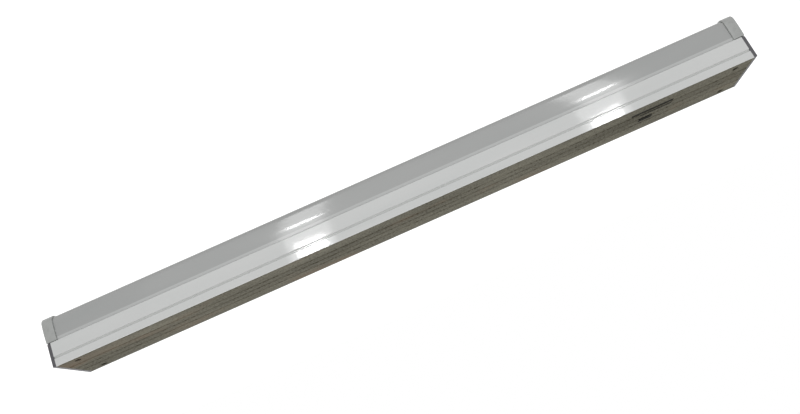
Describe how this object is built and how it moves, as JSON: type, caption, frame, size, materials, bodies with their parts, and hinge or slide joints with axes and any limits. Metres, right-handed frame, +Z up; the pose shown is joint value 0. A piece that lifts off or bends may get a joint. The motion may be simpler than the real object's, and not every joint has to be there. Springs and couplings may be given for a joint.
{
  "type": "led batten light",
  "caption": "Two-foot surface-mounted LED batten with a white steel body, satin opal diffuser, moulded ends and a bare steel mounting plate.",
  "frame": {"origin": "middle of the four fixing holes, in the plane of the back face that lies against the ceiling", "axes": "+X along the batten, +Y across it, +Z up to the ceiling; the diffuser faces -Z"},
  "size_m": [0.6, 0.0576, 0.043],
  "materials": {
    "zinc_steel": "dull rolled zinc coat",
    "white_paint": "smooth gloss",
    "opal_diffuser": "satin opal",
    "cap_plastic": "satin moulded",
    "end_plate_plastic": "fine moulded grain",
    "screw_steel": "zinc plated",
    "led_board_metal": "white solder mask",
    "led_package": "yellow phosphor",
    "connector_plastic": "moulded",
    "driver_plastic": "fine moulded grain",
    "circuit_board": "green solder mask",
    "ferrite": "ground",
    "capacitor_sleeve": "shrunk sleeve",
    "copper_wire": "enamelled winding",
    "terminal_plastic": "moulded",
    "terminal_brass": "turned",
    "black_rubber": "moulded",
    "bush_plastic": "moulded",
    "brown_insulation": "extruded",
    "blue_insulation": "extruded",
    "earth_insulation": "extruded, two colours",
    "red_insulation": "extruded",
    "black_insulation": "extruded"
  },
  "bodies": {
    "root": {"mounting_plate": "zinc_steel", "body_channel": "white_paint", "diffuser": "opal_diffuser", "diffuser_cap_right": "cap_plastic", "diffuser_cap_left": "cap_plastic", "end_plate_right": "end_plate_plastic", "end_plate_left": "end_plate_plastic", "end_plate_screws": "screw_steel", "led_board_right": "led_board_metal", "led_board_left": "led_board_metal", "led_chips_right": "led_package", "led_chips_left": "led_package", "board_screws": "screw_steel", "board_connector": "connector_plastic", "board_link": "connector_plastic", "driver_case": "driver_plastic", "driver_cover": "driver_plastic", "driver_circuit_board": "circuit_board", "driver_transformer": "ferrite", "driver_capacitors": "capacitor_sleeve", "driver_choke": "copper_wire", "driver_screws": "screw_steel", "terminal_block": "terminal_plastic", "terminal_screws": "terminal_brass", "terminal_fixing_screws": "screw_steel", "earth_stud": "screw_steel", "earth_tag": "terminal_brass", "earth_nut": "screw_steel", "cable_grommet": "black_rubber", "lead_bush": "bush_plastic", "live_lead": "brown_insulation", "neutral_lead": "blue_insulation", "earth_lead": "earth_insulation", "led_lead_positive": "red_insulation", "led_lead_negative": "black_insulation"}
  },
  "joints": []
}
